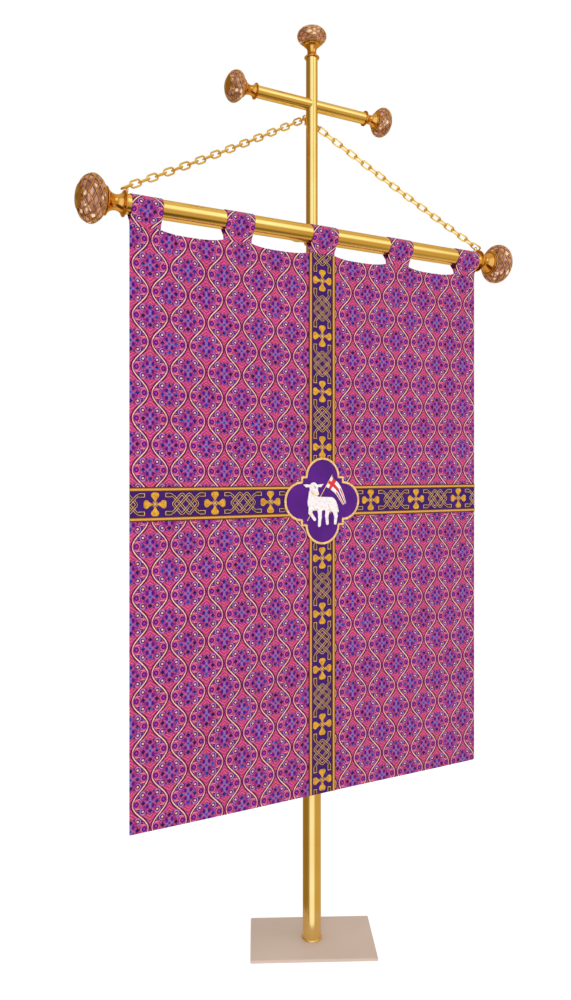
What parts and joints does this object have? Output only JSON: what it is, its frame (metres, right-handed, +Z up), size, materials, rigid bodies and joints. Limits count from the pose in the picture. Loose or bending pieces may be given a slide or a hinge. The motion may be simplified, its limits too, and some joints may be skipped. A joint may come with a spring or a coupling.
{
  "type": "church banner with stand",
  "caption": "Hanging church banner of figured brocade with a galloon cross and a quatrefoil medallion, on a gilt pole stand with rail, chain and ball finials.",
  "frame": {"origin": "under the middle of the base plate, on the pole's axis", "axes": "+Z up, the banner faces -Y, the rail runs along X"},
  "size_m": [1.237, 0.3106, 2.3527],
  "materials": {
    "brocade": "woven brocade, soft sheen",
    "galloon": "woven braid with metal thread",
    "satin": "satin with embroidery",
    "gold_cord": "twisted metallic cord",
    "gilt_tube": "satin gilt",
    "gilt_polished": "polished gilt",
    "lattice_ball": "gilt lattice over rose facets",
    "painted_plate": "matt"
  },
  "bodies": {
    "root": {"ball_bar_left": "lattice_ball", "ball_bar_right": "lattice_ball", "ball_rail_left": "lattice_ball", "ball_rail_right": "lattice_ball", "ball_top": "lattice_ball", "band_left": "galloon", "band_right": "galloon", "band_upright": "galloon", "banner_cloth": "brocade", "base_plate": "painted_plate", "chain_hook": "gilt_polished", "chain_left": "gilt_polished", "chain_right": "gilt_polished", "crossbar_left": "gilt_tube", "crossbar_right": "gilt_tube", "eye_left": "gilt_polished", "eye_right": "gilt_polished", "lower_pole": "gilt_tube", "medallion": "satin", "medallion_cord": "gold_cord", "neck_bar_left": "gilt_polished", "neck_bar_right": "gilt_polished", "neck_rail_left": "gilt_polished", "neck_rail_right": "gilt_polished", "neck_top": "gilt_polished", "pole_collar": "gilt_tube", "rail": "gilt_tube", "rail_bracket": "gilt_polished", "tab_1": "brocade", "tab_2": "brocade", "tab_3": "brocade", "tab_4": "brocade", "tab_5": "brocade", "upper_pole": "gilt_tube"}
  },
  "joints": []
}
